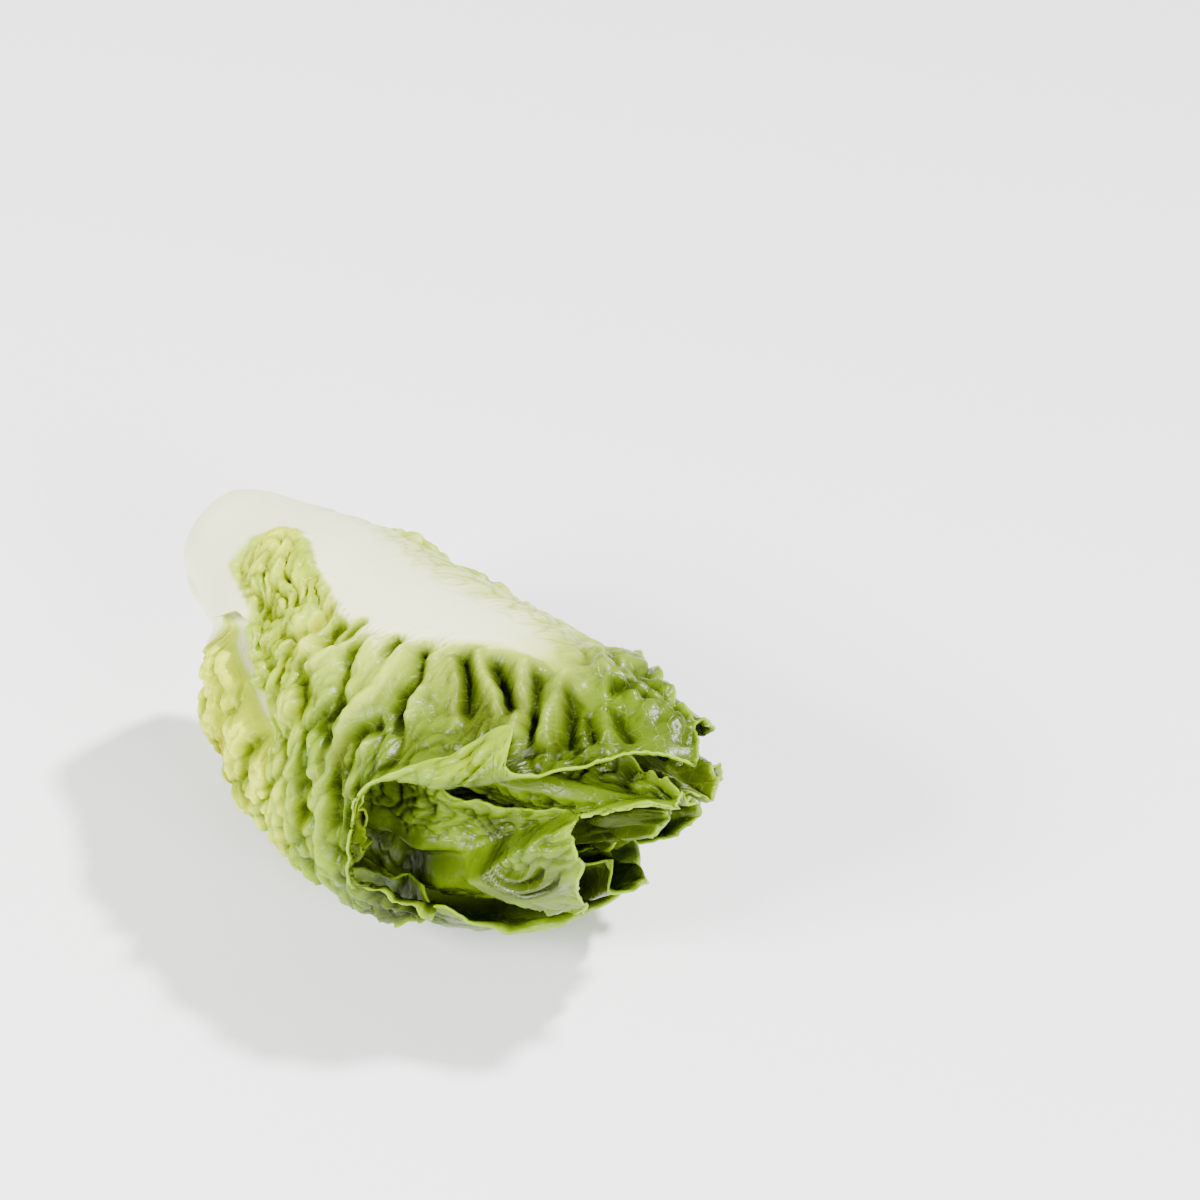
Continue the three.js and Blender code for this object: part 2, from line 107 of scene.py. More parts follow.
# Leaves from the outermost to the innermost. The first values of each are its solid's own: angle is where its
# midrib lies, start and to its ends and round its tip, near and far its half widths and covers what it hides,
# in degrees, rib the midrib's width and thickness at base and tip, folds, depth and frill its folds and
# margin, sink how deep its base is pressed in, and swells its rises, as [place, angle, length, spread, rise].
# The others are for the fine leaf alone: spine and rib_half are the white midrib's angle and half width,
# near_edge, far_edge, end and tip_round the outline, maturity the green from 0, a pale yellow, to 1, a dark
# one, and deepen how much greener the tip is than the base. blister is the puffing between the veins, tight
# how far from the midrib it is whole, calm the share of the folds that is kept, ruffled the height of the
# ruffles, ripples a ring of ridges as (place, angle, rise), margin the lime edge's width, fills the leaf
# whose room it takes, and cells the mesh, along and across.
LEAVES = [
    dict(name="leaf_top",
         angle=[[0, 4], [0.12, 0], [0.2, -8], [0.3, -6], [0.42, -2], [0.5, -4], [0.6, -10], [0.68, -10],
                [0.76, -4], [0.84, 4], [1, 2]], start=0, to=0.975, round=0.06,
         near=[[0, 86], [0.08, 87], [0.12, 84], [0.16, 74], [0.2, 62], [0.24, 54], [0.3, 57],
               [0.36, 62], [0.41, 67], [0.45, 90], [0.49, 116], [0.54, 126], [0.59, 109], [0.63, 74],
               [0.72, 62], [0.82, 40], [0.92, 22], [1, 12]],
         covers=[[0, 86], [0.08, 87], [0.12, 84], [0.16, 74], [0.2, 62], [0.24, 54], [0.3, 57], [0.36, 62],
                 [0.41, 67], [0.45, 90], [0.49, 116], [0.54, 126], [0.6, 126], [0.72, 100], [0.82, 59],
                 [0.92, 30], [1, 18]],
         far=[[0, 32], [0.12, 33], [0.3, 48], [0.5, 63], [0.7, 50], [0.85, 41], [1, 12]],
         rib=[30, 1.5, 4.2, 1.3], folds=19, depth=3.9, frill=0.8, seed=1,
         swells=[[0.23, 16, 0.06, 16, 2.6], [0.61, 74, 0.03, 22, 3.2], [0.7, 52, 0.09, 8, 2.2],
                 [0.6, 98, 0.07, 18, 1.6]],
         spine=[[0, 0], [0.12, -6], [0.2, -14], [0.25, -13], [0.3, -8], [0.35, -5], [0.42, -2], [0.5, -4],
                [0.6, -10], [0.68, -10], [0.76, -4], [0.84, 4], [1, 2]],
         rib_half=[[0, 15], [0.1, 10], [0.2, 6.5], [0.25, 7.5], [0.3, 8.6], [0.35, 9.2], [0.41, 9.3],
                   [0.47, 9.3], [0.55, 7.2], [0.6, 5.6], [0.655, 3.4], [0.7, 1.9], [0.74, 1.1], [0.8, 0.8],
                   [1, 0.4]],
         maturity=0.44, deepen=1.15, blister=0.8, cells=(310, 155)),
    dict(name="leaf_bottom", angle=[[0, 172], [0.4, 182], [1, 185]], start=0, to=0.86, round=0.12,
         near=[[0, 30], [0.1, 32], [0.4, 50], [0.86, 26]],
         far=[[0, 30], [0.1, 32], [0.4, 46], [0.6, 66], [0.72, 66], [0.86, 30]],
         rib=[24, 22, 3.2, 1.4], folds=8, depth=2.4, frill=0.8, seed=2, maturity=0.45, blister=0.5,
         cells=(120, 80)),
    dict(name="leaf_far_low", angle=[[0, -122], [1, -114]], start=0, to=0.88, round=0.12,
         near=[[0, 31], [0.1, 33], [0.35, 56], [0.65, 54], [0.88, 28]],
         far=[[0, 31], [0.1, 33], [0.35, 52], [0.65, 50], [0.88, 28]],
         rib=[22, 3, 3.6, 1.3], folds=10, depth=3.2, frill=1.0, seed=4, maturity=0.5, blister=0.7,
         cells=(150, 84)),
    dict(name="leaf_near", angle=[[0, 52], [0.15, 52], [0.35, 68], [0.6, 82], [1, 92]], start=0.07, to=0.66,
         round=0.12,
         near=[[0, 32], [0.08, 38], [0.2, 56], [0.35, 62], [0.66, 34]],
         far=[[0, 30], [0.1, 32], [0.3, 40], [0.45, 40], [0.66, 28]],
         rib=[23, 3, 3.8, 1.3], folds=11, depth=3.0, frill=1.2, seed=5, sink=1.2,
         swells=[[0.16, 72, 0.04, 10, 2.4], [0.25, 86, 0.05, 10, 3.6], [0.34, 98, 0.05, 11, 2.8]],
         spine=[[0, 50], [0.2, 47], [0.29, 52], [0.35, 59], [0.42, 64], [0.66, 78], [1, 92]],
         rib_half=[[0, 11], [0.1, 9], [0.2, 5.5], [0.29, 4.6], [0.35, 4.4], [0.42, 3], [0.66, 1], [1, 1]],
         end=0.55, ruffled=5.0, maturity=0.2, deepen=1.3, blister=1.0, cells=(210, 140)),
    dict(name="leaf_far", angle=[[0, -60], [1, -54]], start=0, to=0.91, round=0.12,
         near=[[0, 30], [0.1, 32], [0.35, 52], [0.65, 50], [0.91, 26]],
         far=[[0, 30], [0.1, 32], [0.35, 54], [0.65, 54], [0.91, 28]],
         rib=[22, 3, 3.6, 1.3], folds=10, depth=3.4, frill=1.0, seed=6, maturity=0.5, blister=0.7,
         cells=(150, 84)),
    dict(name="leaf_low", angle=[[0, 108], [1, 112]], start=0, to=0.9, round=0.12,
         near=[[0, 30], [0.1, 32], [0.35, 46], [0.7, 48], [0.9, 28]],
         far=[[0, 30], [0.1, 32], [0.35, 50], [0.7, 48], [0.9, 26]],
         rib=[18, 2.5, 3.0, 1.3], folds=9, depth=3.2, frill=1.2, seed=8, sink=2.0,
         swells=[[0.685, 68, 0.03, 9, 3.4], [0.83, 82, 0.03, 9, 1.5]],
         far_edge=[[0, 30], [0.1, 32], [0.35, 50], [0.7, 47], [0.8, 48], [0.89, 55]], end=0.89,
         tip_round=0.03, maturity=0.72, deepen=-0.05, blister=1.2, calm=0.35, ripples=(0.78, 72, 2.2),
         margin=1.6, fills="leaf_near", cells=(240, 160)),
    dict(name="leaf_front", angle=[[0, 40], [1, 44]], start=0.06, to=0.985, round=0.1,
         near=[[0, 28], [0.35, 46], [0.7, 50], [1, 22]],
         far=[[0, 28], [0.35, 46], [0.7, 48], [1, 24]],
         rib=[13, 2, 2.6, 1.2], folds=10, depth=3.0, frill=1.2, seed=7, sink=0.8,
         swells=[[0.735, 57, 0.022, 6, 2.6]],
         near_edge=[[0, 28], [0.35, 46], [0.6, 46], [0.72, 34], [0.8, 27], [0.86, 14], [0.9, 10], [0.95, 0],
                    [1, -8]], tip_round=0.03,
         maturity=0.66, deepen=0.1, blister=2.4, tight=3, cells=(240, 130)),
    dict(name="leaf_under", angle=[[0, 152], [1, 156]], start=0.06, to=0.93, round=0.14,
         near=[[0, 28], [0.4, 42], [0.7, 44], [0.93, 26]],
         far=[[0, 28], [0.4, 42], [0.7, 44], [0.93, 26]],
         rib=[13, 2, 2.6, 1.2], folds=8, depth=2.4, frill=1.0, seed=9, sink=1.0, maturity=0.7, blister=0.8,
         cells=(110, 64)),
    dict(name="leaf_behind", angle=[[0, -86], [1, -84]], start=0.06, to=0.95, round=0.14,
         near=[[0, 30], [0.4, 48], [0.7, 48], [0.95, 28]],
         far=[[0, 30], [0.4, 48], [0.7, 48], [0.95, 28]],
         rib=[13, 2, 2.6, 1.2], folds=8, depth=2.6, frill=1.0, seed=10, sink=0.8, maturity=0.75, blister=0.8,
         cells=(110, 64)),
    dict(name="leaf_crown", angle=[[0, -18], [1, -14]], start=0.06, to=1, round=0.12,
         near=[[0, 28], [0.4, 46], [0.7, 50], [1, 28]],
         far=[[0, 28], [0.4, 46], [0.7, 50], [1, 28]],
         rib=[13, 2, 2.6, 1.2], folds=8, depth=2.6, frill=1.2, seed=11, sink=1.1, maturity=0.8, blister=0.8,
         cells=(110, 64)),
    dict(name="leaf_inner_1", angle=[[0, 66], [1, 74]], start=0.14, to=0.95, round=0.12,
         near=[[0.14, 40], [0.4, 86], [0.7, 84], [0.95, 60]],
         far=[[0.14, 40], [0.4, 86], [0.7, 84], [0.95, 60]],
         rib=[9, 2, 2.2, 1.2], folds=7, depth=2.2, frill=1.0, seed=12, sink=4.4, maturity=0.55, blister=0.8,
         cells=(110, 90)),
    dict(name="leaf_inner_2", angle=[[0, -116], [1, -112]], start=0.14, to=0.94, round=0.12,
         near=[[0.14, 50], [0.4, 84], [0.7, 80], [0.94, 60]],
         far=[[0.14, 50], [0.4, 84], [0.7, 80], [0.94, 60]],
         rib=[9, 2, 2.2, 1.2], folds=7, depth=2.2, frill=1.0, seed=13, sink=2.4, maturity=0.5, blister=0.8,
         cells=(110, 90)),
]

# The top leaf's near side spreads in bent columns from its midrib to its margin:
# rows of [column, start, bend, bend angle, end, end angle].
COLUMNS = [
    [0, 0, 0, 45, 0, 90], [0.05, 0.06, 0.06, 44, 0.06, 88], [0.09, 0.12, 0.12, 42, 0.12, 84],
    [0.115, 0.155, 0.155, 35, 0.155, 71], [0.14, 0.185, 0.185, 25, 0.19, 57],
    [0.165, 0.215, 0.215, 20, 0.222, 46], [0.2, 0.255, 0.255, 20, 0.262, 43],
    [0.24, 0.3, 0.3, 23, 0.305, 49], [0.28, 0.345, 0.345, 26, 0.352, 55],
    [0.315, 0.385, 0.385, 29, 0.393, 60], [0.34, 0.41, 0.41, 32, 0.412, 64],
    [0.365, 0.432, 0.428, 38, 0.42, 73], [0.39, 0.45, 0.445, 46, 0.43, 85],
    [0.415, 0.468, 0.46, 52, 0.455, 98], [0.445, 0.49, 0.485, 60, 0.485, 112],
    [0.475, 0.51, 0.51, 70, 0.525, 121], [0.505, 0.528, 0.53, 82, 0.6, 123],
    [0.55, 0.545, 0.555, 96, 0.69, 117], [0.595, 0.562, 0.572, 90, 0.655, 101],
    [0.63, 0.577, 0.585, 80, 0.624, 94], [0.66, 0.592, 0.595, 62, 0.606, 84],
    [0.69, 0.608, 0.605, 45, 0.602, 70], [0.72, 0.63, 0.625, 38, 0.616, 59],
    [0.755, 0.665, 0.66, 35, 0.66, 54], [0.795, 0.71, 0.71, 33, 0.712, 53],
    [0.835, 0.765, 0.765, 29, 0.765, 49], [0.88, 0.825, 0.825, 23, 0.83, 40],
    [0.92, 0.88, 0.88, 15, 0.885, 26], [0.96, 0.935, 0.935, 7, 0.93, 12], [1, 0.972, 0.972, 3, 0.966, 6]]
# How its margin curls outwards: rows of [column, strip beyond the turn, radius of the turn].
CURL = [[0, 0, 3], [0.09, 0, 3], [0.14, 0.5, 2], [0.2, 1.5, 1.6], [0.34, 1.5, 1.6], [0.42, 1.6, 1.7],
        [0.5, 1.8, 1.5], [0.55, 2, 1.5], [0.6, 2, 1.4], [0.66, 2.2, 1.5], [0.72, 4, 1.6], [0.755, 7, 1.7],
        [0.79, 11, 1.4], [0.825, 15.5, 1.2], [0.838, 14, 1.2], [0.852, 5.5, 1.3], [0.88, 3, 1.8],
        [1, 2.5, 2]]

# Creases between its veins: [width, depth, path of (place, angle) points], from the rib outwards.
CREASES = [
    [2.6, 2.6, [(0.405, 17), (0.403, 26), (0.41, 31)]],
    [1.9, 2.6, [(0.462, 15), (0.463, 28), (0.48, 33), (0.498, 43), (0.485, 50), (0.52, 55), (0.528, 61)]],
    [1.5, 2.0, [(0.498, 11), (0.512, 19), (0.515, 23)]],
    [1.9, 3.2, [(0.53, 7), (0.557, 15), (0.575, 22), (0.573, 30), (0.58, 36), (0.602, 42), (0.615, 45)]],
    [3.4, 3.0, [(0.578, 2), (0.605, 8), (0.64, 16), (0.663, 25), (0.69, 33)]],
    [2.7, 3.6, [(0.622, -2), (0.665, 7), (0.703, 13), (0.728, 20), (0.75, 28)]],
    [1.5, 2.2, [(0.69, -3), (0.73, 7), (0.75, 14), (0.768, 23), (0.795, 34)]],
    [2.4, 3.2, [(0.75, -3), (0.787, 7), (0.813, 20), (0.828, 34)]],
    [1.4, 1.7, [(0.802, 4), (0.832, 13), (0.858, 23)]],
    [2.2, 1.9, [(0.832, -3), (0.862, 5), (0.893, 11)]],
    [1.7, 2.0, [(0.8, -8), (0.838, -17), (0.858, -21)]],
    [1.9, 2.2, [(0.385, 33), (0.403, 41), (0.442, 48), (0.44, 58)]],
    [1.9, 2.6, [(0.575, 38), (0.552, 48), (0.567, 55), (0.563, 66)]],
    [1.8, 2.2, [(0.54, 62), (0.567, 71), (0.563, 84)]],
    [1.8, 2.0, [(0.582, 63), (0.59, 75), (0.588, 88)]],
    [1.3, 1.6, [(0.435, 12), (0.432, 22), (0.44, 28)]],
    [1.2, 1.3, [(0.37, 14), (0.368, 24), (0.375, 34)]],
    [1.3, 1.4, [(0.48, 62), (0.5, 72), (0.5, 86), (0.52, 98)]],
    [1.5, 1.6, [(0.52, 84), (0.54, 95), (0.55, 108)]],
]

# The crisp pleats between them: [width, rise, path].
PLEATS = [
    [2.2, 1.5, [(0.478, 16), (0.48, 25), (0.483, 32), (0.507, 41)]],
    [2.4, 1.9, [(0.517, 12), (0.537, 19), (0.54, 29), (0.53, 40), (0.527, 55), (0.525, 66)]],
    [2.0, 1.7, [(0.553, 11), (0.585, 24), (0.593, 31), (0.613, 40)]],
    [1.8, 1.7, [(0.578, 7), (0.62, 15), (0.655, 26), (0.68, 35)]],
    [1.8, 2.1, [(0.598, 1), (0.64, 9), (0.69, 16), (0.72, 22), (0.735, 28)]],
    [2.6, 2.6, [(0.678, -4), (0.712, 11), (0.75, 25), (0.782, 38)]],
    [2.4, 2.6, [(0.737, -7), (0.775, 9), (0.79, 20), (0.81, 33)]],
    [1.5, 1.7, [(0.366, 24), (0.383, 33), (0.402, 38), (0.43, 31), (0.458, 20)]],
    [2.2, 1.6, [(0.405, 44), (0.42, 50), (0.425, 58)]],
    [2.3, 1.8, [(0.585, 45), (0.56, 53), (0.577, 61), (0.58, 70)]],
    [2.4, 1.8, [(0.5, 58), (0.545, 70), (0.545, 84), (0.56, 100)]],
    [2.2, 1.5, [(0.47, 66), (0.48, 78), (0.505, 95)]],
    [1.8, 1.8, [(0.82, -2), (0.85, 9), (0.875, 18)]],
    [1.8, 1.8, [(0.785, -10), (0.82, -14), (0.85, -14)]],
]


# Small maths on arrays
def mix(a, b, share):
    return a + (b - a) * share


def smooth(low, high, x):
    t = np.clip((x - low) / (high - low), 0, 1)
    return t * t * (3 - 2 * t)


def along(rows, s):
    """A smooth curve through rows of [place, size]."""
    rows = np.array(rows, float)
    x, y = rows[:, 0], rows[:, 1]
    at = np.clip(s, x[0], x[-1])
    i = np.clip(np.searchsorted(x, at, side="left") - 1, 0, len(x) - 2)
    before, after = np.maximum(np.arange(len(x)) - 1, 0), np.minimum(np.arange(len(x)) + 1, len(x) - 1)
    slope = (y[after] - y[before]) / (x[after] - x[before])
    step = x[i + 1] - x[i]
    t = (at - x[i]) / step
    return ((2 * t**3 - 3 * t**2 + 1) * y[i] + (t**3 - 2 * t**2 + t) * step * slope[i]
            + (3 * t**2 - 2 * t**3) * y[i + 1] + (t**3 - t**2) * step * slope[i + 1])


def along_column(rows, column, s):
    """A smooth curve through one column of a table, against its first."""
    return along([[row[0], row[column]] for row in rows], s)


def mound(row, s, angle):
    """A round rise on the head, from a row of [place, angle, length, spread, rise]."""
    place, middle, length, spread, rise = row
    turn = (angle - np.radians(middle)) / np.radians(spread)
    return rise * np.exp(-((s - place) / length) ** 2 - turn**2)


def wander(x, y, seed):
    """A slow, smooth wander between -1 and 1."""
    return (np.sin(1.7 * x + 2.3 * y + 1.3 * seed) + np.sin(2.9 * x - 1.1 * y + 2.1 * seed)
            + np.sin(1.3 * x - 3.7 * y + 0.7 * seed)) / 3


def noise(x, y, seed):
    """Even, seeded gradient noise between about -1 and 1, one lump a unit."""
    cell_x, cell_y = np.floor(x).astype(np.int64), np.floor(y).astype(np.int64)
    fx, fy = x - cell_x, y - cell_y

    def pull(i, j):
        h = (cell_x + i) * 374761393 + (cell_y + j) * 668265263 + seed * 974711
        h = ((h ^ (h >> 13)) * 1274126177) & 0xFFFFFFFF
        turn = (h ^ (h >> 16)) % 6283 / 1000.0
        return np.cos(turn) * (fx - i) + np.sin(turn) * (fy - j)

    wx, wy = fx**3 * (fx * (6 * fx - 15) + 10), fy**3 * (fy * (6 * fy - 15) + 10)
    low = mix(pull(0, 0), pull(1, 0), wx)
    high = mix(pull(0, 1), pull(1, 1), wx)
    return 1.5 * mix(low, high, wy)


def pillow(x, y, seed):
    """Round pillows with sharp seams between them, from 0 to 1."""
    return 1 - (1 - np.minimum(1, 1.9 * np.abs(noise(x, y, seed)))) ** 2


# The head's own space, as in the solids
def head_point(s, angle, depth):
    radius = along(RADIUS, s)
    inward = np.where(depth > 0, depth / np.cbrt(1 + (np.maximum(depth, 0) / radius) ** 3), depth)
    share = radius - inward
    y = along(SWAY, s) - np.sin(angle) * share * SIDE_SHARE
    z = along(HEIGHT, s) + np.cos(angle) * share * RISE_SHARE
    z = np.maximum(z, FLOOR_SHARE * np.maximum(inward, 0))
    return np.stack([HEAD_LENGTH * (s - 0.5), y, z], axis=-1) - MIDDLE


def midrib_angle(leaf, s):
    return np.radians(along(leaf["angle"], s))


def turn_from(leaf, s, angle):
    turn = angle - midrib_angle(leaf, s)
    return turn - 2 * np.pi * np.round(turn / (2 * np.pi))


def leaf_end(leaf, v):
    return leaf["to"] - (leaf["to"] - leaf["start"]) * leaf["round"] * np.abs(v) ** 3


def rib_half(leaf, u):
    return mix(leaf["rib"][0], leaf["rib"][1], np.clip(u, 0, 1) ** 0.8) / 2


def spine_thickness(leaf, u, rib):
    crown = (1 - np.minimum(1, rib) ** 2) ** 2
    blade = mix(BASE_BLADE, THIN_BLADE, smooth(0.02, 0.25, u))
    spine = mix(leaf["rib"][2], leaf["rib"][3], smooth(0, 0.9, u))
    return np.maximum(blade, mix(blade, spine, crown))


def fold_depth(leaf, u, s, turn, rib):
    out = np.maximum(0, rib - 1) * 3
    size = leaf["depth"] * (0.8 + 0.2 * wander(9 * s, 2 * turn, leaf["seed"]))
    return size * smooth(0, 6, out) * smooth(0.05, 0.25, u)


def cover(leaf, s, angle):
    """How deep a leaf presses what lies under it, and how much it covers it."""
    turn = turn_from(leaf, s, angle)
    half = np.radians(np.where(turn > 0, along(leaf.get("covers", leaf["near"]), s), along(leaf["far"], s)))
    past = (np.abs(turn) - half) * WIDEST
    beyond = (s - leaf_end(leaf, np.clip(turn / half, -1, 1))) * HEAD_LENGTH
    before = (leaf["start"] - s) * HEAD_LENGTH
    mask = 1 - smooth(1.5, COVER_BAND, np.maximum(np.maximum(past, beyond), before * 1.6))
    u = np.clip((s - leaf["start"]) / (leaf["to"] - leaf["start"]), 0, 1)
    held = np.clip(turn, -half, half)
    rib = np.abs(held) * along(RADIUS, s) / rib_half(leaf, u)
    size = along(RADIUS, s) / WIDEST
    room = fold_depth(leaf, u, s, held, rib) + spine_thickness(leaf, u, rib)
    room = room + leaf["frill"] * smooth(0.1, 0.3, u)
    room = room + LAYER_GAP * np.maximum(0.65, size) + leaf.get("sink", 0) * smooth(0, 0.1, u)
    return mask * room, mask


def layer_depth(index, s, angle):
    """How deep a leaf lies under those before it, and how much they hide it."""
    depth = np.zeros_like(s)
    hidden = np.zeros_like(s)
    for leaf in LEAVES[:index]:
        room, mask = cover(leaf, s, angle)
        depth = depth + room
        hidden = np.maximum(hidden, mask)
    if index > HOLLOW_BELOW:
        depth = depth + mound(HOLLOW, s, angle)
    return depth + CLOSING * max(0, index - CLOSING_BELOW) * smooth(0.6, 1, s), hidden


def rolled_out(over, radius):
    """Where a strip that rolls outwards ends up: how far it still reaches, and how high it stands."""
    turned = np.minimum(over, np.pi * radius)
    back = over - turned
    return radius * np.sin(turned / radius) - back, radius * (1 - np.cos(turned / radius))


def bent_columns(column, v):
    """Where the top leaf's near side lies, flat and rolled out: places and angles, and how it has rolled."""
    start, bend, bend_angle, end, end_angle = (along_column(COLUMNS, k, column) for k in range(1, 6))
    strip, roll = (along_column(CURL, k, column) for k in (1, 2))
    scale = np.stack([np.full_like(start, HEAD_LENGTH), np.radians(along(RADIUS, bend))], axis=-1)
    first = np.stack([start, along(LEAVES[0]["angle"], start)], axis=-1) * scale
    second = np.stack([bend, bend_angle], axis=-1) * scale
    third = np.stack([end, end_angle], axis=-1) * scale
    outer = np.linalg.norm(third - second, axis=-1)
    length = np.linalg.norm(second - first, axis=-1) + outer
    away = (third - second) / np.maximum(outer, 1e-6)[:, None]

    def place(run):
        t = np.clip(run / length, 0, 1)[:, None]
        straight_on = away * np.maximum(0, run - length)[:, None]
        return (1 - t) ** 2 * first + 2 * t * (1 - t) * second + t**2 * third + straight_on

    run = v * (length - roll + strip)
    over = np.maximum(0, run - (length - roll))
    reach, lift = rolled_out(over, roll)
    flat = place(run) / scale
    held = place(np.minimum(run, length - roll) + reach) / scale
    edge = (1 - v) * (length - roll + strip)
    return flat, held, edge, lift, over


def unrolled(leaf, u, v):
    """Place and turn of points on the flat, ragged sheet, and their distances from its side and its tip."""
    end = leaf.get("end", leaf["to"])
    length = (end - leaf["start"]) * (1 - leaf.get("tip_round", leaf["round"]) * np.abs(v) ** 3)
    s = leaf["start"] + u * length
    radius = along(RADIUS, s)
    near, far = leaf.get("near_edge", leaf["near"]), leaf.get("far_edge", leaf["far"])
    wide = np.radians(np.where(v > 0, along(near, s), along(far, s))) * radius
    seed = leaf["seed"]
    ragged = 1.3 * noise(s * 24, np.sign(v) * 5.5, seed) + 0.5 * noise(s * 67, v * 9, seed + 7)
    y = v * (wide + (1.0 + ragged * np.abs(v) ** 6) * smooth(0.1, 0.3, u))
    tip = 1.2 * noise(y / 5.0, y * 0 + 3.3, seed + 3) * u**8
    beside = np.abs(wide) * (1 - np.abs(v))
    beyond = HEAD_LENGTH * length * (1 - u)
    return s + tip / HEAD_LENGTH, y / radius, beside, beyond


# The top leaf's creases and pleats
def near_path(x, y, path):
    """Distance to a path of points, and how far along it the nearest point is."""
    best, where = np.full(x.shape, 1e9), np.zeros_like(x)
    steps = np.hypot(*np.diff(path, axis=0).T)
    total, done = steps.sum(), 0.0
    for (ax, ay), (bx, by), step in zip(path[:-1], path[1:], steps):
        t = np.clip(((x - ax) * (bx - ax) + (y - ay) * (by - ay)) / step**2, 0, 1)
        gap = np.hypot(x - ax - t * (bx - ax), y - ay - t * (by - ay))
        where = np.where(gap < best, (done + t * step) / total, where)
        best = np.minimum(best, gap)
        done += step
    return best, where


def on_sheet(path):
    """A path of (place, angle) points in the flat sheet's millimetres."""
    return np.array([(s * HEAD_LENGTH, math.radians(angle) * along(RADIUS, np.array(s)))
                     for s, angle in path], float)


def creased(x, y):
    """Depth of the creases and pleats, and how shaded and how lit they are."""
    depth, shade, light = np.zeros_like(x), np.zeros_like(x), np.zeros_like(x)
    for width, rise, path in PLEATS:
        gap, where = near_path(x, y, on_sheet(path))
        lifted = np.exp(-((gap / width) ** 2)) * smooth(0, 0.15, where) * smooth(1, 0.8, where)
        depth = np.minimum(depth, -rise * lifted)
        light = np.maximum(light, lifted)
    for width, deep, path in CREASES:
        gap, where = near_path(x, y, on_sheet(path))
        taper = smooth(0, 0.18, where) * (1 - 0.75 * smooth(0.75, 1, where))
        dip = np.exp(-((gap / width) ** 1.35)) * taper
        depth = depth + np.maximum(0, deep * dip - np.maximum(depth, 0))
        core, skirt = np.exp(-((gap / width / 0.8) ** 2)), np.exp(-((gap / width / 2.0) ** 2))
        shade = np.maximum(shade, (0.8 * core + 0.2 * skirt) * taper)
    return depth, shade, light * (1 - shade)


# A fine leaf. What is known at each of its points is gathered in "at": u runs from base to tip, s is the
# place along the head and turn the angle from the midrib, x and y are millimetres along the flat sheet and
# off its white rib, across those round the head and degrees the same as an angle. near is the near side,
# rib and out the distance from the rib's middle in half widths and past its side, edge the distance from the
# margin, over how far into the rolled margin it lies, lift how high that stands, and held_s and angle where
# it ends up. opened is 0 at the narrow base and 1 on the open blade.
def lie(index, step, v):
    """Where the points of a leaf's sheet lie, flat and rolled out."""
    leaf = LEAVES[index]
    top = index == 0
    u = along_column(COLUMNS, 1, step) / leaf["to"] if top else step * mix(0.7, 1, step)
    s, turn, beside, beyond = unrolled(leaf, u, v)
    edge = np.minimum(beside, beyond)
    strip = 2.2 + 1.6 * noise(s * HEAD_LENGTH / 16, np.sign(v) * 3.3, leaf["seed"] + 40)
    over = np.maximum(0, strip - edge) * smooth(0.1, 0.3, u)
    reach, lift = rolled_out(over, np.full_like(over, RIM_ROLL))
    held_s = np.where(beside < beyond, s, s + (reach - over) / HEAD_LENGTH)
    held_turn = np.where(beside < beyond, turn + np.sign(v) * (reach - over) / along(RADIUS, s), turn)
    if top:
        near = v > 0
        flat, held, near_edge, near_lift, near_over = bent_columns(step, np.maximum(v, 0))
        s = np.where(near, flat[:, 0], s)
        turn = np.where(near, np.radians(flat[:, 1]) - midrib_angle(leaf, s), turn)
        held_s = np.where(near, held[:, 0], held_s)
        held_turn = np.where(near, np.radians(held[:, 1]) - midrib_angle(leaf, held_s), held_turn)
        edge = np.where(near, near_edge, edge)
        lift = np.where(near, near_lift, lift)
        over = np.where(near, near_over, over)
    held_s = np.clip(held_s, 0, 1.02)
    middle, radius = midrib_angle(leaf, s), along(RADIUS, s)
    y = turn * radius
    if "spine" in leaf:
        y = y + (middle - np.radians(along(leaf["spine"], s))) * radius
    half = along(leaf["rib_half"], s) if "rib_half" in leaf else rib_half(leaf, u)
    return SimpleNamespace(
        top=top, u=u, s=s, turn=turn, x=s * HEAD_LENGTH, y=y, across=(turn + middle) * radius,
        degrees=np.degrees(turn + middle), near=y > 0, rib=np.abs(y) / half,
        out=np.maximum(0, np.abs(y) - half), opened=smooth(0.05, 0.25, u), edge=edge, over=over, lift=lift,
        held_s=held_s, angle=midrib_angle(leaf, held_s) + held_turn)


def mark_top(at):
    """The top leaf's own areas: its white sleeve, the listed folds, the near lobe and the loosened edge."""
    at.sleeve = smooth(34, 41, at.degrees) * smooth(0.27, 0.24, at.s)
    at.opened = smooth(0.12, 0.19, at.s) * (1 - at.sleeve)
    beside_hollow = 1 - 0.3 * smooth(28, 42, at.across)
    at.traced = smooth(0.36, 0.4, at.s) * at.near * beside_hollow + 0.85 * (at.y < 0)
    at.over_lobe = smooth(0.38, 0.33, at.s) * at.near
    at.lobe = at.over_lobe * smooth(0, 4, at.out) * at.opened
    at.loosened = smooth(20, 34, at.across) * smooth(0.36, 0.42, at.s) * (1 - smooth(1, 4, at.over))


